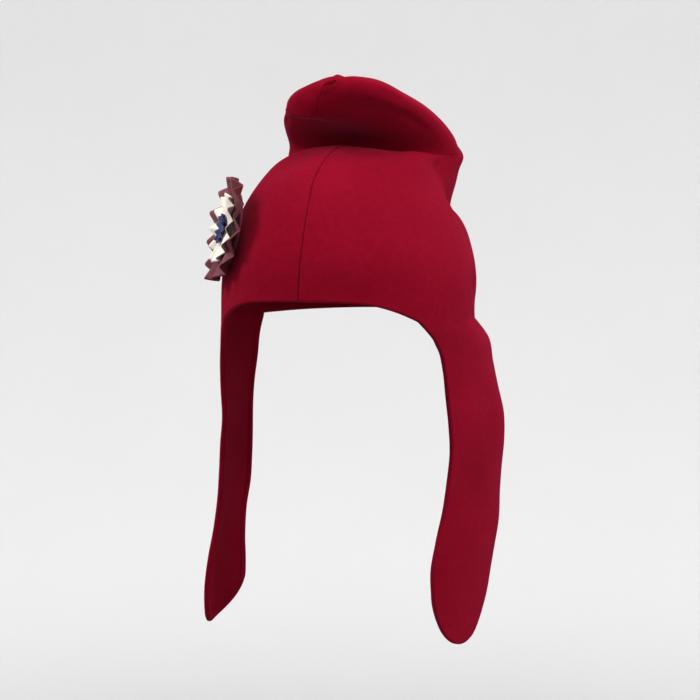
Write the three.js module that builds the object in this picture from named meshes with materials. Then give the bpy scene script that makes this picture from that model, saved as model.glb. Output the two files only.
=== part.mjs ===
import * as THREE from 'three';

// A red cloth cap whose pointed crown is folded over to the front, with two long
// side flaps and a pleated rosette on the wearer's right temple.
//
// Millimetres. +X is the wearer's left, -Y the front, +Z up. The origin is the
// middle of the head opening, about level with the rim over the forehead.

// Rows of a table as objects, each number under the name of its field.
function table(fields, rows) {
  return rows.map((row) => Object.fromEntries(fields.map((field, i) => [field, row[i]])));
}

// Cloth
const CLOTH_THICKNESS = 2.5;
const SEAM_GAP = 0.3;

// The crown is a stack of tilted oval rings, from the rim, over the head, round
// the fold and forward again to the tip. Angles run from 0 at the front through
// 90 at the wearer's left to 180 at the back.
//  front_y, front_z  where the ring meets the seam in front
//  back_y, back_z    where it meets the seam behind
//  half_width, centre_x
//  egg   how far the widest part lies behind the middle, as a share
//  drop  how far the sides hang below the ring's plane
//  tilt  how far the left side stands above the right
//  twist  degrees the seams are turned towards the wearer's right in front
const RING_FIELDS = [
  'front_y', 'front_z', 'back_y', 'back_z', 'half_width', 'centre_x', 'egg', 'drop', 'tilt', 'twist',
];
const RINGS = table(RING_FIELDS, [
  [-101, 0, 101, -14, 82, -0.8, 0.08, 0, 0, 0], // rim
  [-97, 20, 104, 7, 81.5, -0.8, 0.08, 0, 0, 0], // brow
  [-90, 38, 106, 30, 77, -0.8, 0.08, 0, 0, 0], // forehead
  [-81, 55, 107, 52, 71, -0.8, 0.08, 3, 0, 0], // temple
  [-69, 71, 107, 71, 65, -0.8, 0.08, 8, 0, 0], // upper
  [-51, 84.5, 105, 86, 59.5, 1.5, 0.12, 8, 0, 0], // crown
  [-27, 93, 101, 98, 58, 3, 0.15, 11, 1, 0], // lip
  [-6, 91, 95, 107, 58.5, 3.5, 0.08, 11, 0.5, 0], // fold in
  [5, 92, 86, 114, 58.5, 4, 0, 12, 0, 0], // fold
  [2, 98, 74, 119.5, 56.5, 5, 0, 11.5, 0, 0], // fold out
  [-12, 103, 57, 123.5, 53, 4.5, 0, 7.5, 0.5, -1], // under back
  [-30, 106.5, 36, 126.5, 47, 3.5, 0, 2.5, 1.8, -3], // under middle
  [-42, 108.5, 9, 130, 39, 3.2, 0, -0.8, 2.3, -6], // under front
  [-50.5, 112, -18, 132.3, 31, 2, 0, -3.2, 3.8, -10], // low tip
  [-54, 117.5, -40, 133.8, 20.5, 1, 0, -2.4, 3.6, -14], // middle tip
  [-55, 123, -49, 134, 9, 1.5, 0, -1, 2, -18], // tip
]);
const LAST_RING = RINGS.length - 1;
const TIP_POINT = new THREE.Vector3(1.5, -54.4, 128.6);

// Folds and dents: a soft ridge or valley along a line over the crown, from one
// ring and angle to another. A minus height is a valley.
const FOLD_FIELDS = ['ring_a', 'deg_a', 'ring_b', 'deg_b', 'width', 'height', 'power'];
const FOLDS = table(FOLD_FIELDS, [
  [3.3, 132, 3.5, 98, 9.5, -6.5, 1.5], // crease behind the temple
  [3.5, 98, 5.2, 72, 8, -3.6, 1.6], // crease up to the lip
  [5.3, 120, 6, 104, 15, 4, 2], // bulge over the crease
  [2.4, 125, 2.4, 95, 14, -1.2, 2], // flat under the crease
  [12, 180, 14, 180, 7, 2, 1.4], // corner on the seam
  [12.6, 162, 14.2, 158, 12, -4, 2], // dip beside the seam
  [11.5, 140, 14, 146, 10, 0.6, 2], // ridge on the left
  [12.5, 304, 12.8, 350, 6, 2, 1.3], // lip of the peak on the right
  [11.2, 300, 11.2, 345, 10, -2, 2], // hollow behind that lip
  [5.8, 13, 6.1, 33, 10, -2.5, 2], // dip in the lip of the crown
  [12.6, 30, 12.4, 55, 14, -1.5, 2], // hollow under the peak front edge
  [11.6, 42, 10.7, 58, 22, -3.8, 2], // hollow under the peak left edge
  [12.3, 96, 10.8, 92, 10, 1, 2], // edge of the peak on the left
  [13.6, 206, 13.2, 250, 12, -2.6, 2], // flat on the peak right shoulder
  [0.2, 107, 0.7, 92, 3, -1.2, 2], // small crease at the flap root
]);
const FOLD_MM_PER_RING = 15;
const FOLD_MM_PER_DEG = 1.1;

// Height of the cut edge round the head, the same on both sides.
const RIM = [
  { deg: 0, z: -3 },
  { deg: 10, z: -3.1 },
  { deg: 20, z: -3.6 },
  { deg: 30, z: -5.2 },
  { deg: 40, z: -9.4 },
  { deg: 50, z: -15.6 },
  { deg: 60, z: -23 },
  { deg: 70, z: -20.5 },
  { deg: 80, z: -18.5 },
  { deg: 90, z: -17.6 },
  { deg: 100, z: -18.6 },
  { deg: 110, z: -19.7 },
  { deg: 120, z: -19.6 },
  { deg: 130, z: -19.2 },
  { deg: 140, z: -18.8 },
  { deg: 150, z: -18.5 },
  { deg: 160, z: -18.2 },
  { deg: 170, z: -18 },
  { deg: 180, z: -18 },
];
const RIM_STEP = 10;
const RIM_REACH = 1.6;

// The side flaps: front and rear edge as angles on the rim oval, and how far
// each edge stands outside that oval, on the left and on the right.
const FLAP_TOP_Z = -12;
const FLAP_STEP = 18;
const FLAP_FIELDS = ['front_deg', 'rear_deg', 'left_front', 'left_rear', 'right_front', 'right_rear'];
const FLAP = table(FLAP_FIELDS, [
  [52, 113, 0, 0, 0, 0],
  [63.5, 114, -1, 10.5, 0.5, 4.5],
  [67.5, 116, -1, 14, 1, 8.5],
  [69.5, 117, -1, 18, 1, 12],
  [70.5, 118, 0, 22.5, 0.5, 14.5],
  [71, 118, 0.5, 23, 2, 15],
  [69.5, 117, 0, 21, 2.5, 14.5],
  [67.5, 115, -0.8, 19, 3.6, 13],
  [64, 111, -1.8, 17.5, 6.2, 11.5],
  [61, 108, -2, 14.5, 10, 9.5],
  [61.5, 104, -2, 11, 12.5, 5],
  [63, 100, -2, 8.5, 13, 2],
  [63, 98, -2, 7, 13, 1],
]);
const FLAP_ROOT_FRONT = 52;
const FLAP_ROOT_REAR = 113;
const FLAP_ROOT_ARC = 15;
const FLAP_CURL = 1.4;
const TIP_BLUNT = 0.48;
const SIDES = {
  left: { sign: 1, tip_z: -228, tip_deg: 80.5, tip_round: 35, front: 'left_front', rear: 'left_rear' },
  right: { sign: -1, tip_z: -221.5, tip_deg: 71.5, tip_round: 21.5, front: 'right_front', rear: 'right_rear' },
};

// Mesh steps
const RING_STEPS = [
  0, 0.6, 1.2, 1.8, 2.4, 2.9, 3.3, 3.7, 4.1, 4.6, 5.1, 5.6, 6.2, 7, 8, 9, 10, 11, 12, 13, 14, 14.6, 15,
];
const FRONT_DEGS = [0, 9, 18, 26, 33, 40, 46];
const FLAP_COLUMNS = 11;
const REAR_DEGS = [122, 131, 140, 149, 158, 166, 173, 180];
const FLAP_STEPS = [
  0.045, 0.09, 0.14, 0.2, 0.28, 0.36, 0.45, 0.55, 0.65, 0.74, 0.82, 0.88, 0.925, 0.96, 0.985,
];

// Rosette: its seat on the cloth, the way it faces, and its layers along that way
const ROSETTE_SEAT_RING = 2.1;
const ROSETTE_SEAT_DEG = 312;
const ROSETTE_FACING = new THREE.Vector3(-0.816, -0.524, 0.197).normalize();
const PIN = { radius: 3.5, from: 0.9, to: 2.6, sides: 16 };
const BACKING = { radius: 24, from: 2.9, to: 4.1, sides: 40 };
const PLEATED = [
  {
    name: 'rosette_outer_ring', inner: 10, start: 17, outer: 33, pleats: 12,
    phase: 0, base: 4.4, thickness: 0.8, low: 0.3, rise: 7, point: 0, color: 0x6e2733,
  },
  {
    name: 'rosette_middle_ring', inner: 4.5, start: 9, outer: 21, pleats: 12,
    phase: 0.5, base: 7.45, thickness: 0.8, low: 0.3, rise: 4.2, point: 1.6, color: 0xe4d8c6,
  },
  {
    name: 'rosette_centre', inner: 0, start: 2, outer: 9, pleats: 10,
    phase: 0, base: 9.1, thickness: 0.8, low: 0.2, rise: 2.4, point: 0.8, color: 0x1f2470,
  },
];
const PLEAT_STOPS = [
  { turn: 0, lift: 0 },
  { turn: 0.12, lift: 0 },
  { turn: 0.5, lift: 1 },
  { turn: 0.62, lift: 1 },
];

const rad = (deg) => (deg * Math.PI) / 180;
const mix = (a, b, k) => a + (b - a) * k;
const clamp = (v, low, high) => Math.min(high, Math.max(low, v));

// One value of a table between two of its rows, on a smooth curve through all of them.
function smoothValue(rows, field, at) {
  const i = clamp(Math.floor(at), 0, rows.length - 2);
  const t = at - i;
  const p1 = rows[i][field];
  const p2 = rows[i + 1][field];
  const p0 = i > 0 ? rows[i - 1][field] : 2 * p1 - p2;
  const p3 = i < rows.length - 2 ? rows[i + 2][field] : 2 * p2 - p1;
  const c1 = p2 - p0;
  const c2 = 2 * p0 - 5 * p1 + 4 * p2 - p3;
  const c3 = 3 * (p1 - p2) + p3 - p0;
  return p1 + 0.5 * t * (c1 + t * (c2 + t * c3));
}

function rimHeight(deg) {
  const from_front = Math.abs(((deg + 540) % 360) - 180);
  return smoothValue(RIM, 'z', from_front / RIM_STEP);
}

// A point on a ring before the folds are laid in.
function ringPoint(ring, deg) {
  const r = {};
  for (const field of RING_FIELDS) {
    r[field] = smoothValue(RINGS, field, ring);
  }
  const c = Math.cos(rad(deg + r.twist));
  const q = Math.sin(rad(deg + r.twist));
  const along = c - r.egg * q * q;
  const x = r.centre_x + r.half_width * q;
  const y = (r.front_y + r.back_y) / 2 + ((r.front_y - r.back_y) / 2) * along;
  const flat = (r.front_z + r.back_z) / 2 + ((r.front_z - r.back_z) / 2) * along;
  const first = RINGS[0];
  const level = (first.front_z + first.back_z) / 2
    + ((first.front_z - first.back_z) / 2) * (c - first.egg * q * q);
  const near_rim = clamp(1 - ring / RIM_REACH, 0, 1) ** 2;
  const z = flat - r.drop * q * q + r.tilt * q + (rimHeight(deg) - level) * near_rim;
  return new THREE.Vector3(x, y, z);
}

function surfaceNormal(point, u, v, step_u, step_v) {
  const du = point(u + step_u, v).sub(point(u - step_u, v));
  const dv = point(u, v + step_v).sub(point(u, v - step_v));
  return dv.cross(du).normalize();
}

function foldHeight(ring, deg) {
  let height = 0;
  for (const fold of FOLDS) {
    const ax = fold.ring_a * FOLD_MM_PER_RING;
    const ay = fold.deg_a * FOLD_MM_PER_DEG;
    const bx = fold.ring_b * FOLD_MM_PER_RING - ax;
    const by = fold.deg_b * FOLD_MM_PER_DEG - ay;
    const px = ring * FOLD_MM_PER_RING - ax;
    const py = deg * FOLD_MM_PER_DEG - ay;
    const k = clamp((px * bx + py * by) / (bx * bx + by * by), 0, 1);
    const away = Math.hypot(px - k * bx, py - k * by);
    height += fold.height * Math.exp(-((away / fold.width) ** fold.power));
  }
  return height;
}

function crownPoint(ring, deg) {
  const safe = (r, d) => ringPoint(clamp(r, 0, LAST_RING), d);
  const normal = surfaceNormal(safe, ring, deg, 0.001, 0.06);
  return ringPoint(clamp(ring, 0, LAST_RING), deg).addScaledVector(normal, foldHeight(ring, deg));
}

function crownNormal(ring, deg) {
  return surfaceNormal(crownPoint, ring, deg, 0.01, 0.3);
}

// A point on a flap: across from 0 at the front edge to 1 at the rear edge,
// down from 0 at the rim to 1 at the tip.
function flapPoint(side, down, across) {
  const z = mix(FLAP_TOP_Z, side.tip_z, down);
  const row = clamp((FLAP_TOP_Z - z) / FLAP_STEP, 0, FLAP.length - 1);
  const to_tip = clamp((z - side.tip_z) / side.tip_round, 0, 1);
  const wide = (1 - (1 - to_tip) ** 2) ** TIP_BLUNT;
  const full_front = smoothValue(FLAP, 'front_deg', row);
  const full_rear = smoothValue(FLAP, 'rear_deg', row);
  const arc = FLAP_ROOT_ARC * row * clamp(1 - row, 0, 1) ** 2;
  const front = mix(side.tip_deg, full_front + arc, wide);
  const rear = mix(side.tip_deg, full_rear, wide);
  const deg = mix(front, rear, across);
  const share = clamp((deg - full_front) / (full_rear - full_front), 0, 1);
  const out_front = smoothValue(FLAP, side.front, row);
  const out_rear = smoothValue(FLAP, side.rear, row);
  const out = mix(out_front, out_rear, share ** FLAP_CURL);
  const base = ringPoint(0, side.sign > 0 ? deg : 360 - deg);
  const near_rim = clamp(1 - 4 * down, 0, 1) ** 2;
  return new THREE.Vector3(
    base.x + side.sign * out,
    base.y,
    z + (rimHeight(deg) - FLAP_TOP_Z) * near_rim,
  );
}

function flapNormal(side, down, across) {
  const point = (d, a) => flapPoint(side, clamp(d, 0, 0.999), clamp(a, 0, 1));
  const normal = surfaceNormal(point, down, across, 0.004, 0.02);
  return normal.multiplyScalar(-side.sign);
}

// A sheet of cloth with thickness: outer face, inner face and the cut edges
// between them. The faces are listed anticlockwise seen from outside.
function clothSolid(outer, inner, faces) {
  const count = outer.length;
  const seen = new Set();
  for (const [a, b, c] of faces) {
    seen.add(`${a}_${b}`);
    seen.add(`${b}_${c}`);
    seen.add(`${c}_${a}`);
  }
  const all = [];
  for (const [a, b, c] of faces) {
    all.push([a, b, c]);
    all.push([a + count, c + count, b + count]);
  }
  for (const key of seen) {
    const [a, b] = key.split('_').map(Number);
    if (seen.has(`${b}_${a}`)) {
      continue;
    }
    if (a < b) {
      all.push([b, a, b + count]);
      all.push([a, a + count, b + count]);
    } else {
      all.push([b, a, a + count]);
      all.push([b, a + count, b + count]);
    }
  }
  return buildGeometry(outer.concat(inner), all);
}

function buildGeometry(points, faces) {
  const geometry = new THREE.BufferGeometry();
  const positions = [];
  for (const p of points) {
    positions.push(p.x, p.y, p.z);
  }
  geometry.setAttribute('position', new THREE.Float32BufferAttribute(positions, 3));
  geometry.setIndex(faces.flat());
  geometry.computeVertexNormals();
  return geometry;
}

// One half of the cap: half the crown from seam to seam with its side flap.
function panelGeometry(side) {
  const outer = [];
  const inner = [];
  const faces = [];
  const turn = (deg) => (side.sign > 0 ? deg : 360 - deg);

  function addPoint(point, normal, on_seam) {
    const shift = on_seam ? (side.sign * SEAM_GAP) / 2 : 0;
    const inside = point.clone().addScaledVector(normal, -CLOTH_THICKNESS);
    point.x += shift;
    inside.x += shift;
    outer.push(point);
    inner.push(inside);
    return outer.length - 1;
  }

  function addFace(a, b, c) {
    faces.push(side.sign > 0 ? [a, b, c] : [a, c, b]);
  }

  function addStrip(lower, upper) {
    for (let j = 0; j < lower.length - 1; j += 1) {
      addFace(lower[j], lower[j + 1], upper[j + 1]);
      addFace(lower[j], upper[j + 1], upper[j]);
    }
  }

  const root_degs = [];
  for (let j = 0; j <= FLAP_COLUMNS; j += 1) {
    root_degs.push(mix(FLAP_ROOT_FRONT, FLAP_ROOT_REAR, j / FLAP_COLUMNS));
  }
  const degs = FRONT_DEGS.concat(root_degs, REAR_DEGS);

  const rows = RING_STEPS.map((ring) => degs.map((deg, j) => {
    const on_seam = j === 0 || j === degs.length - 1;
    return addPoint(crownPoint(ring, turn(deg)), crownNormal(ring, turn(deg)), on_seam);
  }));
  for (let i = 0; i < rows.length - 1; i += 1) {
    addStrip(rows[i], rows[i + 1]);
  }

  const last = rows[rows.length - 1];
  const tip_normal = crownNormal(LAST_RING, 0).add(crownNormal(LAST_RING, 180)).normalize();
  const tip = addPoint(TIP_POINT.clone(), tip_normal, true);
  for (let j = 0; j < last.length - 1; j += 1) {
    addFace(last[j], last[j + 1], tip);
  }

  let above = rows[0].slice(FRONT_DEGS.length, FRONT_DEGS.length + FLAP_COLUMNS + 1);
  for (const down of FLAP_STEPS) {
    const row = [];
    for (let j = 0; j <= FLAP_COLUMNS; j += 1) {
      const across = j / FLAP_COLUMNS;
      row.push(addPoint(flapPoint(side, down, across), flapNormal(side, down, across), false));
    }
    addStrip(row, above);
    above = row;
  }
  return clothSolid(outer, inner, faces);
}

// The rosette is drawn lying flat, z away from the cloth, and then put in place.
function rosetteMatrix() {
  const seat = crownPoint(ROSETTE_SEAT_RING, ROSETTE_SEAT_DEG);
  const up = new THREE.Vector3(0, 0, 1).addScaledVector(ROSETTE_FACING, -ROSETTE_FACING.z).normalize();
  const across = up.clone().cross(ROSETTE_FACING);
  return new THREE.Matrix4().makeBasis(across, up, ROSETTE_FACING).setPosition(seat);
}

function discGeometry({ radius, from, to, sides }) {
  const points = [new THREE.Vector3(0, 0, to), new THREE.Vector3(0, 0, from)];
  const faces = [];
  for (let i = 0; i < sides; i += 1) {
    const angle = (i / sides) * 2 * Math.PI;
    points.push(new THREE.Vector3(radius * Math.cos(angle), radius * Math.sin(angle), to));
    points.push(new THREE.Vector3(radius * Math.cos(angle), radius * Math.sin(angle), from));
  }
  for (let i = 0; i < sides; i += 1) {
    const a = 2 + 2 * i;
    const b = 2 + 2 * ((i + 1) % sides);
    faces.push([0, a, b], [1, b + 1, a + 1], [a, a + 1, b + 1], [a, b + 1, b]);
  }
  return buildGeometry(points, faces);
}

// A ribbon pleated into a ring, or into a full round when the inner radius is 0.
function pleatedGeometry(ring) {
  const columns = ring.pleats * PLEAT_STOPS.length;
  const radii = [
    { r: Math.max(ring.inner, 0.8), k: 0 },
    { r: ring.start, k: 0 },
    { r: mix(ring.start, ring.outer, 0.5), k: 0.5 },
    { r: ring.outer, k: 1 },
  ];
  const outer = [];
  const inner = [];
  const faces = [];
  const closed = ring.inner === 0;
  for (const { r, k } of radii) {
    for (let i = 0; i < columns; i += 1) {
      const stop = PLEAT_STOPS[i % PLEAT_STOPS.length];
      const pleat = Math.floor(i / PLEAT_STOPS.length);
      const angle = ((pleat + stop.turn + ring.phase) / ring.pleats) * 2 * Math.PI;
      const radius = r + ring.point * stop.lift * k;
      const height = ring.base + mix(ring.low, ring.rise, k) * stop.lift;
      const x = radius * Math.cos(angle);
      const y = radius * Math.sin(angle);
      outer.push(new THREE.Vector3(x, y, height + ring.thickness));
      inner.push(new THREE.Vector3(x, y, height));
    }
  }
  for (let m = 0; m < radii.length - 1; m += 1) {
    for (let i = 0; i < columns; i += 1) {
      const a = m * columns + i;
      const b = m * columns + ((i + 1) % columns);
      faces.push([a, a + columns, b + columns], [a, b + columns, b]);
    }
  }
  if (closed) {
    const middle = outer.length;
    outer.push(new THREE.Vector3(0, 0, ring.base + ring.thickness));
    inner.push(new THREE.Vector3(0, 0, ring.base));
    for (let i = 0; i < columns; i += 1) {
      faces.push([middle, i, (i + 1) % columns]);
    }
  }
  return clothSolid(outer, inner, faces);
}

function namedMesh(name, geometry, color, roughness) {
  const mesh = new THREE.Mesh(geometry, new THREE.MeshStandardMaterial({ color, roughness, metalness: 0 }));
  mesh.name = name;
  return mesh;
}

const cap = new THREE.Group();
cap.name = 'phrygian_cap';
cap.add(namedMesh('left_panel', panelGeometry(SIDES.left), 0x8c1022, 0.85));
cap.add(namedMesh('right_panel', panelGeometry(SIDES.right), 0x8c1022, 0.85));

const place = rosetteMatrix();
const rosette = [
  namedMesh('rosette_pin', discGeometry(PIN), 0x9a9a9a, 0.4),
  namedMesh('rosette_backing', discGeometry(BACKING), 0x5b1f2a, 0.8),
];
for (const ring of PLEATED) {
  rosette.push(namedMesh(ring.name, pleatedGeometry(ring), ring.color, 0.7));
}
for (const mesh of rosette) {
  mesh.geometry.applyMatrix4(place);
  cap.add(mesh);
}

export default cap;
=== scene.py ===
import math

import bmesh
import bpy
import numpy as np
from mathutils import Matrix, Vector
from mathutils.kdtree import KDTree


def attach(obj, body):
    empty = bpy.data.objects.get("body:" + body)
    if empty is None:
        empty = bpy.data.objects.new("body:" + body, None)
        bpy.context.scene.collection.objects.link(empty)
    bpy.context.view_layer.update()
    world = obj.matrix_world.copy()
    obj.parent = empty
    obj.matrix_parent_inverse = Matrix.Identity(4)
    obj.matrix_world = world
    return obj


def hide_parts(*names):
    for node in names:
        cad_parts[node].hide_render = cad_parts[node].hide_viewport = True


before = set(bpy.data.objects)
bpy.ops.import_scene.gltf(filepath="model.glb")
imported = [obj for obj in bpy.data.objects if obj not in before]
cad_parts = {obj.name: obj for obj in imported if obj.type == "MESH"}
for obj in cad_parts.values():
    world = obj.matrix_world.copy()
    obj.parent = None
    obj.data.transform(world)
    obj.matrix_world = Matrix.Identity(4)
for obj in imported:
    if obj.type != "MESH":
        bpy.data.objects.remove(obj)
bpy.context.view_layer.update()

# A red cloth cap, its pointed crown folded over to the front, with two long side
# flaps and a pleated rosette on the wearer's right temple.
#
# Sizes are in millimetres until the last step of each mesh, where MM turns them
# into the frame's metres. +X is the wearer's left, -Y the front, +Z up.

MM = 0.001

# Cloth. The cut edges are rounded to half its thickness. Along the seam the rounding
# shrinks from the first of the two rings named here to the second, and stays small
# on the peak, where the seam hardly shows.
THICKNESS = 2.5
HEM = 6
HEM_STEP = 1.2
HEM_THICKNESS = 1.0
PEAK_SEAM_ROUNDING = 0.2
PEAK_SEAM_RINGS = (8, 10)
RIPPLE_HEIGHT = 0.35

# The crown is a stack of tilted ovals, from the rim, over the head, round the fold
# and forward again to the tip. Angles run from 0 at the front through 90 at the
# wearer's left to 180 at the back. The columns are: where the ring meets the seam
# in front (y, z) and behind (y, z), half width, middle x, how far the widest part
# lies behind the middle, how far the sides hang, how far the left side is up, and
# how many degrees the seams are turned.
RINGS = np.array([
    (-101, 0, 101, -14, 82, -0.8, 0.08, 0, 0, 0),          # rim
    (-97, 20, 104, 7, 81.5, -0.8, 0.08, 0, 0, 0),          # brow
    (-90, 38, 106, 30, 77, -0.8, 0.08, 0, 0, 0),           # forehead
    (-81, 55, 107, 52, 71, -0.8, 0.08, 3, 0, 0),           # temple
    (-69, 71, 107, 71, 65, -0.8, 0.08, 8, 0, 0),           # upper
    (-51, 84.5, 105, 86, 59.5, 1.5, 0.12, 8, 0, 0),        # crown
    (-27, 93, 101, 98, 58, 3, 0.15, 11, 1, 0),             # lip
    (-6, 91, 95, 107, 58.5, 3.5, 0.08, 11, 0.5, 0),        # fold in
    (5, 92, 86, 114, 58.5, 4, 0, 12, 0, 0),                # fold
    (2, 98, 74, 119.5, 56.5, 5, 0, 11.5, 0, 0),            # fold out
    (-12, 103, 57, 123.5, 53, 4.5, 0, 7.5, 0.5, -1),       # under back
    (-30, 106.5, 36, 126.5, 47, 3.5, 0, 2.5, 1.8, -3),     # under middle
    (-42, 108.5, 9, 130, 39, 3.2, 0, -0.8, 2.3, -6),       # under front
    (-50.5, 112, -18, 132.3, 31, 2, 0, -3.2, 3.8, -10),    # low tip
    (-54, 117.5, -40, 133.8, 20.5, 1, 0, -2.4, 3.6, -14),  # middle tip
    (-55, 123, -49, 134, 9, 1.5, 0, -1, 2, -18),           # tip
], float)
LAST_RING = len(RINGS) - 1
TIP_POINT = np.array((1.5, -54.4, 128.6))
RIM_EGG = 0.08
RIM_REACH = 1.6

# Folds and dents along a line over the crown: ring and angle where it starts,
# ring and angle where it ends, width, height (a minus is a valley), and power.
FOLDS = [
    (3.3, 132, 3.5, 98, 9.5, -6.5, 1.5),  # crease behind the temple
    (3.5, 98, 5.2, 72, 8, -3.6, 1.6),     # crease up to the lip
    (5.3, 120, 6, 104, 15, 4, 2),         # bulge over the crease
    (2.4, 125, 2.4, 95, 14, -1.2, 2),     # flat under the crease
    (12, 180, 14, 180, 7, 2, 1.4),        # corner on the seam
    (12.6, 162, 14.2, 158, 12, -4, 2),    # dip beside the seam
    (11.5, 140, 14, 146, 10, 0.6, 2),     # ridge on the left
    (12.5, 304, 12.8, 350, 6, 2, 1.3),    # lip of the peak on the right
    (11.2, 300, 11.2, 345, 10, -2, 2),    # hollow behind that lip
    (5.8, 13, 6.1, 33, 10, -2.5, 2),      # dip in the lip of the crown
    (12.6, 30, 12.4, 55, 14, -1.5, 2),    # hollow under the peak's front edge
    (11.6, 42, 10.7, 58, 22, -3.8, 2),    # hollow under the peak's left edge
    (12.3, 96, 10.8, 92, 10, 1, 2),       # edge of the peak on the left
    (13.6, 206, 13.2, 250, 12, -2.6, 2),  # flat on the peak's right shoulder
    (0.2, 107, 0.7, 92, 3, -1.2, 2),      # small crease at the flap's root
]
FOLD_MM_PER_RING = 15
FOLD_MM_PER_DEG = 1.1

# Height of the cut edge round the head, every 10 degrees from the front seam
RIM = np.array([
    -3, -3.1, -3.6, -5.2, -9.4, -15.6, -23, -20.5, -18.5, -17.6,
    -18.6, -19.7, -19.6, -19.2, -18.8, -18.5, -18.2, -18, -18,
])[:, None]
RIM_STEP = 10

# The flaps, every 18 mm down: front and rear edge as angles on the rim's oval, and
# how far the front and rear edge stand outside it, on the left and on the right.
FLAP = np.array([
    (52, 113, 0, 0, 0, 0),
    (63.5, 114, -1, 10.5, 0.5, 4.5),
    (67.5, 116, -1, 14, 1, 8.5),
    (69.5, 117, -1, 18, 1, 12),
    (70.5, 118, 0, 22.5, 0.5, 14.5),
    (71, 118, 0.5, 23, 2, 15),
    (69.5, 117, 0, 21, 2.5, 14.5),
    (67.5, 115, -0.8, 19, 3.6, 13),
    (64, 111, -1.8, 17.5, 6.2, 11.5),
    (61, 108, -2, 14.5, 10, 9.5),
    (61.5, 104, -2, 11, 12.5, 5),
    (63, 100, -2, 8.5, 13, 2),
    (63, 98, -2, 7, 13, 1),
], float)
FLAP_TOP_Z = -12
FLAP_STEP = 18
FLAP_ROOT = (52, 113)
FLAP_ROOT_ARC = 15
FLAP_CURL = 1.4
TIP_BLUNT = 0.48
LEFT = {
    "name": "left", "sign": 1, "tip_z": -228, "tip_deg": 80.5, "tip_round": 35, "edges": (2, 3),
}
RIGHT = {
    "name": "right", "sign": -1, "tip_z": -221.5, "tip_deg": 71.5, "tip_round": 21.5, "edges": (4, 5),
}

# Rosette: its seat on the cloth and the way it faces
SEAT_RING = 2.1
SEAT_DEG = 312
FACING = Vector((-0.816, -0.524, 0.197)).normalized()


def smooth_rows(rows, at):
    """The rows of a table read at fractional places, on a smooth curve through all of them."""
    at = np.asarray(at, float)
    last = len(rows) - 1
    i = np.clip(np.floor(at).astype(int), 0, last - 1)
    t = (at - i)[..., None]
    p1, p2 = rows[i], rows[i + 1]
    p0 = np.where((i > 0)[..., None], rows[np.maximum(i - 1, 0)], 2 * p1 - p2)
    p3 = np.where((i < last - 1)[..., None], rows[np.minimum(i + 2, last)], 2 * p2 - p1)
    c1 = p2 - p0
    c2 = 2 * p0 - 5 * p1 + 4 * p2 - p3
    c3 = 3 * (p1 - p2) + p3 - p0
    return p1 + 0.5 * t * (c1 + t * (c2 + t * c3))


def rim_height(deg):
    from_front = np.abs((np.asarray(deg, float) + 540) % 360 - 180)
    return smooth_rows(RIM, from_front / RIM_STEP)[..., 0]


def ring_point(ring, deg):
    """Points on the rings before the folds are laid in."""
    ring, deg = np.broadcast_arrays(np.asarray(ring, float), np.asarray(deg, float))
    columns = np.moveaxis(smooth_rows(RINGS, ring), -1, 0)
    front_y, front_z, back_y, back_z, half_width, centre_x, egg, drop, tilt, twist = columns
    c, q = np.cos(np.radians(deg + twist)), np.sin(np.radians(deg + twist))
    along = c - egg * q * q
    x = centre_x + half_width * q
    y = (front_y + back_y) / 2 + (front_y - back_y) / 2 * along
    flat = (front_z + back_z) / 2 + (front_z - back_z) / 2 * along
    rim_front_z, rim_back_z = RINGS[0, 1], RINGS[0, 3]
    level = (rim_front_z + rim_back_z) / 2 + (rim_front_z - rim_back_z) / 2 * (c - RIM_EGG * q * q)
    near_rim = np.clip(1 - ring / RIM_REACH, 0, 1) ** 2
    z = flat - drop * q * q + tilt * q + (rim_height(deg) - level) * near_rim
    return np.stack([x, y, z], -1)


def unit(v):
    return v / np.maximum(np.linalg.norm(v, axis=-1, keepdims=True), 1e-12)


def surface_normal(point, u, v, step_u, step_v):
    du = point(u + step_u, v) - point(u - step_u, v)
    dv = point(u, v + step_v) - point(u, v - step_v)
    return unit(np.cross(dv, du))


def fold_height(ring, deg):
    height = np.zeros(np.broadcast(ring, deg).shape)
    for ring_a, deg_a, ring_b, deg_b, width, tall, power in FOLDS:
        ax, ay = ring_a * FOLD_MM_PER_RING, deg_a * FOLD_MM_PER_DEG
        bx, by = ring_b * FOLD_MM_PER_RING - ax, deg_b * FOLD_MM_PER_DEG - ay
        px, py = ring * FOLD_MM_PER_RING - ax, deg * FOLD_MM_PER_DEG - ay
        k = np.clip((px * bx + py * by) / (bx * bx + by * by), 0, 1)
        away = np.hypot(px - k * bx, py - k * by)
        height += tall * np.exp(-((away / width) ** power))
    return height


def crown_point(ring, deg):
    ring, deg = np.broadcast_arrays(np.asarray(ring, float), np.asarray(deg, float))

    def safe(r, d):
        return ring_point(np.clip(r, 0, LAST_RING), d)

    normal = surface_normal(safe, ring, deg, 0.001, 0.06)
    return safe(ring, deg) + normal * fold_height(ring, deg)[..., None]


def crown_normal(ring, deg):
    return surface_normal(crown_point, ring, deg, 0.01, 0.3)


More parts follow.
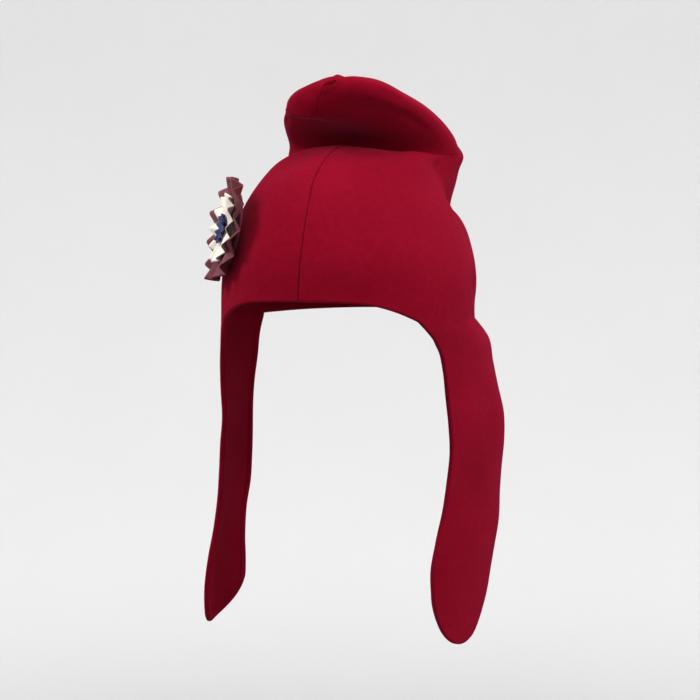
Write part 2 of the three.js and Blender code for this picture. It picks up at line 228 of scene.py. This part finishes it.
def flap_point(side, down, across):
    """Points on a flap: across is 0 to 1 from front to rear edge, down 0 to 1 from rim to tip."""
    down, across = np.broadcast_arrays(np.asarray(down, float), np.asarray(across, float))
    z = FLAP_TOP_Z + (side["tip_z"] - FLAP_TOP_Z) * down
    row = np.clip((FLAP_TOP_Z - z) / FLAP_STEP, 0, len(FLAP) - 1)
    to_tip = np.clip((z - side["tip_z"]) / side["tip_round"], 0, 1)
    wide = (1 - (1 - to_tip) ** 2) ** TIP_BLUNT
    r = smooth_rows(FLAP, row)
    tip = side["tip_deg"]
    arc = FLAP_ROOT_ARC * row * np.clip(1 - row, 0, 1) ** 2
    front = tip + (r[..., 0] + arc - tip) * wide
    rear = tip + (r[..., 1] - tip) * wide
    deg = front + (rear - front) * across
    share = np.clip((deg - r[..., 0]) / (r[..., 1] - r[..., 0]), 0, 1)
    out_front, out_rear = r[..., side["edges"][0]], r[..., side["edges"][1]]
    out = out_front + (out_rear - out_front) * share ** FLAP_CURL
    base = ring_point(np.zeros_like(deg), deg if side["sign"] > 0 else 360 - deg)
    near_rim = np.clip(1 - 4 * down, 0, 1) ** 2
    height = z + (rim_height(deg) - FLAP_TOP_Z) * near_rim
    return np.stack([base[..., 0] + side["sign"] * out, base[..., 1], height], -1)


def flap_normal(side, down, across):
    def point(d, a):
        return flap_point(side, np.clip(d, 0, 0.999), np.clip(a, 0, 1))

    return -side["sign"] * surface_normal(point, down, across, 0.004, 0.02)


def grid_faces(rows):
    """Quads between rows of point numbers that have the same length."""
    faces = []
    for low, high in zip(rows[:-1], rows[1:]):
        for j in range(len(low) - 1):
            faces.append((low[j], low[j + 1], high[j + 1], high[j]))
    return faces


def add_mesh(name, points, faces, material):
    """A smooth mesh object from points in millimetres."""
    mesh = bpy.data.meshes.new(name)
    mesh.from_pydata((np.asarray(points, float) * MM).tolist(), [], faces)
    mesh.update()
    clean = bmesh.new()
    clean.from_mesh(mesh)
    bmesh.ops.remove_doubles(clean, verts=clean.verts, dist=1e-6)
    bmesh.ops.dissolve_degenerate(clean, edges=clean.edges, dist=1e-7)
    bmesh.ops.recalc_face_normals(clean, faces=clean.faces)
    clean.to_mesh(mesh)
    clean.free()
    mesh.shade_smooth()
    mesh.materials.append(material)
    piece = bpy.data.objects.new(name, mesh)
    bpy.context.scene.collection.objects.link(piece)
    return piece


def edge_distance(points, faces):
    """How far each point of a sheet lies from the sheet's nearest edge."""
    count = {}
    for face in faces:
        for a, b in zip(face, face[1:] + face[:1]):
            key = (min(a, b), max(a, b))
            count[key] = count.get(key, 0) + 1
    samples = []
    for (a, b), times in count.items():
        if times == 1:
            steps = max(1, int(np.linalg.norm(points[a] - points[b]) / EDGE_SAMPLE_SPACING))
            for i in range(steps + 1):
                samples.append(points[a] + (points[b] - points[a]) * i / steps)
    tree = KDTree(len(samples))
    for i, p in enumerate(samples):
        tree.insert(p, i)
    tree.balance()
    return np.array([tree.find(p)[2] for p in points])


def cloth_solid(name, outer, normals, faces, thickness, material, hem=0, rounding=None):
    """A sheet of cloth with rounded edges, and with its hem turned in on the inside.

    The rounding is one width, or one for each point, and half the thickness if not given.
    """
    half = thickness / 2
    away = edge_distance(outer, faces)
    rounding = half if rounding is None else rounding
    full = np.sqrt(1 - (1 - np.clip(away / rounding, 0, 1)) ** 2)[:, None] * half
    turned = np.clip((HEM - away) / HEM_STEP + 0.5, 0, 1) * np.clip(away / half, 0, 1)
    inside = full + (turned * turned * (3 - 2 * turned))[:, None] * hem
    middle = outer - normals * half
    count = len(outer)
    points = np.concatenate([middle + normals * full, middle - normals * inside])
    both = list(faces) + [tuple(i + count for i in reversed(face)) for face in faces]
    return add_mesh(name, points, both, material)


# Steps of the fine meshes, closer together near the edges and the seams. Seam steps
# are in degrees, rim steps in millimetres, and the others are shares.
SEAM_STEPS = [0, 0.05, 0.12, 0.22, 0.35, 0.5, 0.7, 0.95, 1.3, 1.8, 2.6, 3.4, 3.7, 4, 4.3, 4.7, 5.4]
RIM_STEPS = [0, 0.1, 0.25, 0.45, 0.7, 1.0, 1.4, 2.0, 2.9, 4.2, 5.2, 5.6, 6, 6.4, 6.8, 8, 10.6]
MM_PER_RIM_RING = 20
FLAP_EDGE_STEPS = [
    0, 0.0012, 0.003, 0.006, 0.01, 0.016, 0.025, 0.04, 0.06, 0.08, 0.086, 0.093, 0.1, 0.107, 0.13,
]
TIP_STEPS = [0.9, 0.75, 0.6, 0.46, 0.34, 0.24, 0.16, 0.1, 0.06, 0.03, 0.012, 0.004, 0.0008]
DOME_STEPS = [0.88, 0.74, 0.6, 0.46, 0.33, 0.2, 0.08]
FRONT_COLUMNS = 30
FLAP_COLUMNS = 34
REAR_COLUMNS = 40
CROWN_ROWS = 150
FLAP_ROWS = 84
EDGE_SAMPLE_SPACING = 0.25


def panel_degrees():
    """Angles of the crown's columns from the front seam to the back seam."""
    across = list(FLAP_EDGE_STEPS)
    across += list(np.linspace(FLAP_EDGE_STEPS[-1], 1 - FLAP_EDGE_STEPS[-1], FLAP_COLUMNS)[1:-1])
    across += [1 - a for a in reversed(FLAP_EDGE_STEPS)]
    across = np.array(across)
    front, rear = FLAP_ROOT
    root = front + (rear - front) * across
    before = np.linspace(SEAM_STEPS[-1], front, FRONT_COLUMNS)[1:-1]
    after = np.linspace(rear, 180 - SEAM_STEPS[-1], REAR_COLUMNS)[1:-1]
    seam_back = [180 - d for d in reversed(SEAM_STEPS)]
    degs = np.concatenate([SEAM_STEPS, before, root, after, seam_back])
    first = len(SEAM_STEPS) + len(before)
    return degs, across, first


def small_ripples(points):
    """Slow, shallow waves that keep the cloth from looking machined, in millimetres."""
    x, y, z = points[..., 0], points[..., 1], points[..., 2]
    waves = np.sin(0.061 * x + 0.043 * z + 1.3) * np.sin(0.052 * y - 0.038 * z)
    waves += 0.5 * np.sin(0.115 * y + 0.09 * z + 0.4) * np.sin(0.102 * x + 2.1)
    return RIPPLE_HEIGHT * waves


def panel_piece(side, material):
    """One half of the cap: half the crown from seam to seam with its side flap."""
    degs, across, first = panel_degrees()
    turn = degs if side["sign"] > 0 else 360 - degs
    low_rings = [s / MM_PER_RIM_RING for s in RIM_STEPS]
    rings = np.concatenate([low_rings, np.linspace(low_rings[-1], LAST_RING, CROWN_ROWS)[1:]])
    ring_grid, deg_grid = np.meshgrid(rings, turn, indexing="ij")
    crown = crown_point(ring_grid, deg_grid)
    crown_out = crown_normal(ring_grid, deg_grid)

    top = crown[-1]
    centre = (top[0] + top[-1]) / 2
    domes, dome_normals = [], []
    up = unit(TIP_POINT - centre)
    for left in DOME_STEPS:
        domes.append(centre + (top - centre) * left + (TIP_POINT - centre) * (1 - left * left))
        dome_normals.append(unit(crown_out[-1] * left + up * (1 - left)))
    crown = np.concatenate([crown, domes])
    crown_out = np.concatenate([crown_out, dome_normals])
    crown = crown + crown_out * small_ripples(crown)[..., None]

    columns = len(degs)
    on_peak = np.interp(rings, PEAK_SEAM_RINGS, (0, 1))
    on_peak = np.concatenate([on_peak, np.ones(len(domes))])
    edge = THICKNESS / 2
    roundings = [np.repeat(edge + (PEAK_SEAM_ROUNDING - edge) * on_peak, columns)]
    points = [crown.reshape(-1, 3)]
    normals = [crown_out.reshape(-1, 3)]
    numbers = np.arange(crown.shape[0] * columns).reshape(-1, columns)
    faces = grid_faces(numbers.tolist())
    used = numbers.size
    apex = used
    points.append(TIP_POINT[None] + unit(TIP_POINT - centre)[None] * small_ripples(TIP_POINT))
    normals.append(unit(TIP_POINT - centre)[None])
    used += 1
    last = numbers[-1].tolist()
    faces += [(a, b, apex) for a, b in zip(last[:-1], last[1:])]

    length = FLAP_TOP_Z - side["tip_z"]
    tip_share = side["tip_round"] / length
    downs = np.linspace(0, 1 - tip_share, FLAP_ROWS)[1:]
    downs = np.concatenate([downs, [1 - tip_share * s for s in TIP_STEPS]])
    down_grid, across_grid = np.meshgrid(downs, across, indexing="ij")
    flap = flap_point(side, down_grid, across_grid)
    flap_out = flap_normal(side, down_grid, across_grid)
    flap = flap + flap_out * small_ripples(flap)[..., None]
    points.append(flap.reshape(-1, 3))
    normals.append(flap_out.reshape(-1, 3))
    flap_numbers = (np.arange(flap.shape[0] * len(across)) + used).reshape(-1, len(across)).tolist()
    root = numbers[0, first:first + len(across)].tolist()
    faces += grid_faces([root] + flap_numbers)
    used += flap.shape[0] * len(across)
    roundings += [[PEAK_SEAM_ROUNDING], np.full(flap.shape[0] * len(across) + 1, edge)]
    points.append(flap_point(side, 1.0, 0.5)[None])
    normals.append(flap_out[-1, len(across) // 2][None])
    bottom = flap_numbers[-1]
    faces += [(b, a, used) for a, b in zip(bottom[:-1], bottom[1:])]
    piece = cloth_solid(
        side["name"] + "_panel_cloth", np.concatenate(points), np.concatenate(normals), faces,
        THICKNESS, material, HEM_THICKNESS, np.concatenate(roundings),
    )
    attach(piece, "root")
    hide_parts(side["name"] + "_panel")


# Rosette layers. Drawn lying flat with z away from the cloth, then put in place.
RIBBON = 0.45
PLEATED = {
    "outer": {
        "inner": 9.5, "start": 16, "outer": 33, "pleats": 12, "phase": 0, "base": 4.6,
        "low": 0.3, "rise": 7.2, "point": 1.2,
    },
    "middle": {
        "inner": 4, "start": 8.5, "outer": 21, "pleats": 12, "phase": 0.5, "base": 7.6,
        "low": 0.3, "rise": 4.6, "point": 1.9,
    },
    "centre": {
        "inner": 0, "start": 1.6, "outer": 9, "pleats": 10, "phase": 0, "base": 9.2,
        "low": 0.2, "rise": 2.7, "point": 0.8,
    },
}
# One pleat: share of the turn, and how far the ribbon is lifted there
PLEAT_TURNS = [0, 0.04, 0.08, 0.2, 0.33, 0.46, 0.5, 0.52, 0.54, 0.56, 0.6, 0.74, 0.88, 0.97]
PLEAT_LIFTS = [0, 0, 0.07, 0.34, 0.64, 0.94, 1, 1, 1, 1, 0.94, 0.62, 0.3, 0.06]
# How uneven the pleats are: share of their height, millimetres of their reach, and
# share of a pleat that their tops stray sideways
UNEVEN_HEIGHT = (-0.16, 0.12)
UNEVEN_REACH = (-0.6, 0.5)
UNEVEN_TURN = (-0.08, 0.08)
PLEAT_ROWS = 14
PLEAT_CLIMB = 0.9
SMALLEST_RADIUS = 0.7


def rosette_matrix():
    seat = Vector(crown_point(SEAT_RING, SEAT_DEG) * MM)
    up = (Vector((0, 0, 1)) - FACING * FACING.z).normalized()
    across = up.cross(FACING)
    turned = Matrix((across, up, FACING)).transposed().to_4x4()
    return Matrix.Translation(seat) @ turned


def pleated_piece(name, ring, seed, material):
    """A ribbon pleated into a ring, or into a full round when the inner radius is 0."""
    random = np.random.default_rng(seed)
    tall = 1 + random.uniform(*UNEVEN_HEIGHT, ring["pleats"])
    long = random.uniform(*UNEVEN_REACH, ring["pleats"])
    drift = random.uniform(*UNEVEN_TURN, ring["pleats"])
    radii = [(max(ring["inner"], SMALLEST_RADIUS), 0), (ring["start"], 0)]
    for k in np.linspace(0, 1, PLEAT_ROWS)[1:]:
        radii.append((ring["start"] + (ring["outer"] - ring["start"]) * k, k))
    rows, outer = [], []
    for r, k in radii:
        row = []
        for p in range(ring["pleats"]):
            for turn, lift in zip(PLEAT_TURNS, PLEAT_LIFTS):
                share = (p + turn + ring["phase"] + drift[p] * lift) / ring["pleats"]
                angle = 2 * math.pi * share
                radius = r + (ring["point"] * lift + long[p] * lift) * k
                climb = ring["low"] + (ring["rise"] * tall[p] - ring["low"]) * k ** PLEAT_CLIMB
                height = ring["base"] + climb * lift
                outer.append((radius * math.cos(angle), radius * math.sin(angle), height))
                row.append(len(outer) - 1)
        rows.append(row + [row[0]])
    outer = np.array(outer)
    faces = grid_faces(rows)
    if ring["inner"] == 0:
        outer = np.concatenate([outer, [(0, 0, ring["base"])]])
        middle = len(outer) - 1
        faces += [(b, a, middle) for a, b in zip(rows[0][:-1], rows[0][1:])]
    sheet = bpy.data.meshes.new(name)
    sheet.from_pydata(outer.tolist(), [], faces)
    sheet.update()
    normals = np.array([v.normal for v in sheet.vertices])
    normals *= np.sign(normals[:, 2:3].mean())
    bpy.data.meshes.remove(sheet)
    piece = cloth_solid(name, outer + normals * RIBBON, normals, faces, RIBBON, material)
    piece.data.transform(rosette_matrix())
    return piece


# Materials
GRAIN_SHADE = 0.985


def new_material(name):
    material = bpy.data.materials.new(name)
    material.use_nodes = True
    nodes = material.node_tree.nodes
    return material, nodes, material.node_tree.links, nodes["Principled BSDF"]


def noise(nodes, links, coordinates, scale, detail, roughness=0.55, stretch=None):
    texture = nodes.new("ShaderNodeTexNoise")
    texture.inputs["Scale"].default_value = scale
    texture.inputs["Detail"].default_value = detail
    texture.inputs["Roughness"].default_value = roughness
    if stretch:
        mapping = nodes.new("ShaderNodeMapping")
        mapping.inputs["Scale"].default_value = stretch
        links.new(coordinates, mapping.inputs["Vector"])
        links.new(mapping.outputs["Vector"], texture.inputs["Vector"])
    else:
        links.new(coordinates, texture.inputs["Vector"])
    return texture.outputs["Fac"]


def ramp(nodes, links, value, stops):
    node = nodes.new("ShaderNodeValToRGB")
    elements = node.color_ramp.elements
    while len(elements) < len(stops):
        elements.new(0.5)
    for element, (place, colour) in zip(elements, stops):
        element.position = place
        element.color = (*colour, 1)
    links.new(value, node.inputs["Fac"])
    return node.outputs["Color"]


def mix_colours(nodes, links, share, a, b):
    node = nodes.new("ShaderNodeMix")
    node.data_type = "RGBA"
    if isinstance(share, float):
        node.inputs["Factor"].default_value = share
    else:
        links.new(share, node.inputs["Factor"])
    links.new(a, node.inputs["A"])
    links.new(b, node.inputs["B"])
    return node.outputs["Result"]


def bump(nodes, links, height, strength, distance, normal=None):
    node = nodes.new("ShaderNodeBump")
    node.inputs["Strength"].default_value = strength
    node.inputs["Distance"].default_value = distance
    links.new(height, node.inputs["Height"])
    if normal:
        links.new(normal, node.inputs["Normal"])
    return node.outputs["Normal"]


def felt_material(name, deep, plain, bright, sheen_tint, sheen):
    """Felted cloth: soft large patches, a fine mottle of fibres, and a fuzzy surface."""
    material, nodes, links, shader = new_material(name)
    place = nodes.new("ShaderNodeTexCoord").outputs["Object"]
    patches = noise(nodes, links, place, 11, 3)
    mottle = noise(nodes, links, place, 260, 5, 0.62)
    broad = ramp(nodes, links, patches, [(0.3, deep), (0.5, plain), (0.72, bright)])
    fine = ramp(nodes, links, mottle, [(0.3, deep), (0.52, plain), (0.75, bright)])
    links.new(mix_colours(nodes, links, 0.45, broad, fine), shader.inputs["Base Color"])
    fibres = noise(nodes, links, place, 1400, 4, 0.6)
    nap = noise(nodes, links, place, 420, 3, 0.5)
    soft = bump(nodes, links, nap, 0.12, 0.0006)
    links.new(bump(nodes, links, fibres, 0.22, 0.0003, soft), shader.inputs["Normal"])
    shader.inputs["Roughness"].default_value = 1.0
    shader.inputs["Specular IOR Level"].default_value = 0.0
    shader.inputs["Sheen Weight"].default_value = sheen
    shader.inputs["Sheen Roughness"].default_value = 0.45
    shader.inputs["Sheen Tint"].default_value = (*sheen_tint, 1)
    return material


def ribbon_material(name, deep, plain, bright, sheen_tint):
    """Ribbed ribbon: fine crosswise ribs, a thread mottle, and a dull sheen."""
    material, nodes, links, shader = new_material(name)
    place = nodes.new("ShaderNodeTexCoord").outputs["Object"]
    patches = noise(nodes, links, place, 120, 3)
    threads = noise(nodes, links, place, 1500, 3, 0.6)
    broad = ramp(nodes, links, patches, [(0.32, deep), (0.52, plain), (0.72, bright)])
    fine = ramp(nodes, links, threads, [(0.3, deep), (0.5, plain), (0.72, bright)])
    links.new(mix_colours(nodes, links, 0.4, broad, fine), shader.inputs["Base Color"])
    wave = nodes.new("ShaderNodeTexWave")
    wave.wave_type = "BANDS"
    wave.bands_direction = "Z"
    wave.inputs["Scale"].default_value = 420
    wave.inputs["Distortion"].default_value = 0.6
    wave.inputs["Detail"].default_value = 1
    links.new(place, wave.inputs["Vector"])
    ribs = bump(nodes, links, wave.outputs["Fac"], 0.25, 0.00015)
    links.new(bump(nodes, links, threads, 0.15, 0.0002, ribs), shader.inputs["Normal"])
    shader.inputs["Roughness"].default_value = 0.55
    shader.inputs["Sheen Weight"].default_value = 0.1
    shader.inputs["Specular IOR Level"].default_value = 0.2
    shader.inputs["Sheen Roughness"].default_value = 0.5
    shader.inputs["Sheen Tint"].default_value = (*sheen_tint, 1)
    return material


def metal_material(name):
    material, nodes, links, shader = new_material(name)
    place = nodes.new("ShaderNodeTexCoord").outputs["Object"]
    scuffs = noise(nodes, links, place, 900, 4, 0.6, stretch=(1, 1, 6))
    colour = ramp(nodes, links, scuffs, [(0.3, (0.5, 0.5, 0.51)), (0.7, (0.72, 0.72, 0.73))])
    links.new(colour, shader.inputs["Base Color"])
    links.new(bump(nodes, links, scuffs, 0.2, 0.0001), shader.inputs["Normal"])
    shader.inputs["Metallic"].default_value = 1
    shader.inputs["Roughness"].default_value = 0.35
    return material


def stage_material(name, near, colour, reach):
    """A matt stage, darker right under the object so that little light comes up from it."""
    material, nodes, links, shader = new_material(name)
    place = nodes.new("ShaderNodeTexCoord").outputs["Object"]
    grain = noise(nodes, links, place, 3, 3)
    pale = ramp(nodes, links, grain, [(0.3, tuple(c * GRAIN_SHADE for c in colour)), (0.7, colour)])
    away = nodes.new("ShaderNodeVectorMath")
    away.operation = "LENGTH"
    links.new(place, away.inputs[0])
    share = nodes.new("ShaderNodeMapRange")
    share.interpolation_type = "SMOOTHSTEP"
    share.inputs["From Min"].default_value = reach[0]
    share.inputs["From Max"].default_value = reach[1]
    links.new(away.outputs["Value"], share.inputs["Value"])
    dark = ramp(nodes, links, grain, [(0.3, tuple(c * GRAIN_SHADE for c in near)), (0.7, near)])
    both = mix_colours(nodes, links, share.outputs["Result"], dark, pale)
    links.new(both, shader.inputs["Base Color"])
    shader.inputs["Roughness"].default_value = 0.95
    shader.inputs["Specular IOR Level"].default_value = 0.1
    return material


red = felt_material("red_felted_cloth", (0.152, 0.0017, 0.0090), (0.184, 0.0025, 0.0118),
                    (0.218, 0.0037, 0.0156), (1.0, 0.2, 0.42), sheen=0.07)
maroon_felt = felt_material("maroon_backing_felt", (0.085, 0.012, 0.02), (0.12, 0.018, 0.028),
                            (0.16, 0.028, 0.04), (1.0, 0.75, 0.75), sheen=0.2)
maroon = ribbon_material("maroon_ribbon_weave", (0.075, 0.008, 0.014), (0.122, 0.014, 0.025),
                         (0.185, 0.030, 0.044), (1.0, 0.5, 0.55))
cream = ribbon_material("cream_ribbon_weave", (0.60, 0.52, 0.44), (0.76, 0.69, 0.60),
                        (0.86, 0.81, 0.74), (1.0, 1.0, 1.0))
blue = ribbon_material("blue_ribbon_weave", (0.008, 0.008, 0.045), (0.014, 0.013, 0.085),
                       (0.025, 0.024, 0.15), (0.7, 0.75, 1.0))
steel = metal_material("plain_steel")

panel_piece(LEFT, red)
panel_piece(RIGHT, red)

rosette = [
    ("rosette_outer_ribbon", "outer", 11, maroon, "rosette_outer_ring", "maroon_ribbon"),
    ("rosette_middle_ribbon", "middle", 23, cream, "rosette_middle_ring", "cream_ribbon"),
    ("rosette_centre_ribbon", "centre", 37, blue, "rosette_centre", "blue_ribbon"),
]
for name, ring, seed, material, node, slot in rosette:
    piece = pleated_piece(name, PLEATED[ring], seed, material)
    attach(piece, "root")
    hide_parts(node)


def finish_node(node, material, rounding):
    """A carried-over solid gets its material and softened edges."""
    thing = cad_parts[node]
    thing.data.materials.clear()
    thing.data.materials.append(material)
    soften = thing.modifiers.new("soft_edges", "BEVEL")
    soften.width = rounding * MM
    soften.segments = 3
    soften.limit_method = "ANGLE"


finish_node("rosette_backing", maroon_felt, 0.4)
finish_node("rosette_pin", steel, 0.2)

# Camera: the photograph's view, a long lens from the front and a little above,
# from the wearer's left of the middle
CAMERA_AZIMUTH = 16.5
CAMERA_ELEVATION = 5.0
CAMERA_DISTANCE = 1.1
CAMERA_TARGET = Vector((0.00157, 0.00047, -0.040))
CAMERA_LENS = 86.09
SENSOR = 36.0


def add_camera():
    a, e = math.radians(CAMERA_AZIMUTH), math.radians(CAMERA_ELEVATION)
    back = Vector((math.sin(a) * math.cos(e), -math.cos(a) * math.cos(e), math.sin(e)))
    data = bpy.data.cameras.new("camera")
    data.lens = CAMERA_LENS
    data.sensor_width = SENSOR
    data.clip_start = 0.05
    data.clip_end = 50
    camera = bpy.data.objects.new("camera", data)
    camera.location = CAMERA_TARGET + back * CAMERA_DISTANCE
    camera.rotation_mode = "QUATERNION"
    camera.rotation_quaternion = (-back).to_track_quat("-Z", "Y")
    bpy.context.scene.collection.objects.link(camera)
    bpy.context.scene.camera = camera


LIGHT_SIZE = 1.0


def add_area(name, place, watts):
    """A round light aimed at the origin."""
    data = bpy.data.lights.new(name, "AREA")
    data.shape = "DISK"
    data.size = LIGHT_SIZE
    data.energy = watts
    light = bpy.data.objects.new(name, data)
    light.location = place
    light.rotation_mode = "QUATERNION"
    light.rotation_quaternion = (-Vector(place)).to_track_quat("-Z", "Y")
    bpy.context.scene.collection.objects.link(light)


# Stage: a wide pale floor that curves up into a wall all round. The floor is darker
# near its middle, and its colour changes between the two reaches, in metres.
FLOOR_Z = -0.95
STAGE_RADIUS = 3.2
STAGE_CURVE = 1.4
STAGE_TOP = 4.5
STAGE_SIDES = 96
CURVE_STEPS = 16
FLOOR_GREY = (0.22, 0.22, 0.22)
WALL_GREY = (0.72, 0.72, 0.72)
GREY_REACH = (1.5, 2.7)


def add_stage():
    profile = [(0.0, 0.0), (STAGE_RADIUS - STAGE_CURVE, 0.0)]
    for step in range(1, CURVE_STEPS + 1):
        a = math.pi / 2 * step / CURVE_STEPS
        profile.append((STAGE_RADIUS - STAGE_CURVE + STAGE_CURVE * math.sin(a),
                        STAGE_CURVE * (1 - math.cos(a))))
    profile.append((STAGE_RADIUS, STAGE_TOP))
    points, rows = [], []
    for radius, height in profile[1:]:
        row = []
        for i in range(STAGE_SIDES):
            a = 2 * math.pi * i / STAGE_SIDES
            points.append((radius * math.cos(a), radius * math.sin(a), FLOOR_Z + height))
            row.append(len(points) - 1)
        rows.append(row + [row[0]])
    points.append((0, 0, FLOOR_Z))
    faces = grid_faces(rows)
    faces += [(len(points) - 1, a, b) for a, b in zip(rows[0][:-1], rows[0][1:])]
    cover = stage_material("pale_floor", FLOOR_GREY, WALL_GREY, GREY_REACH)
    floor = add_mesh("floor", np.array(points) / MM, faces, cover)


def add_world(strength):
    world = bpy.data.worlds.new("studio")
    world.use_nodes = True
    sky = world.node_tree.nodes["Background"]
    sky.inputs["Color"].default_value = (1, 1, 1, 1)
    sky.inputs["Strength"].default_value = strength
    bpy.context.scene.world = world


add_stage()
add_world(0.8)
add_area("key_left", (-1.6, -0.7, 1.6), 42)
add_area("key_right", (1.85, 0.1, 1.7), 50)
add_area("top", (0.1, 0, 2.2), 29)
add_camera()
bpy.context.scene.view_settings.view_transform = "Standard"
bpy.context.scene.view_settings.look = "None"
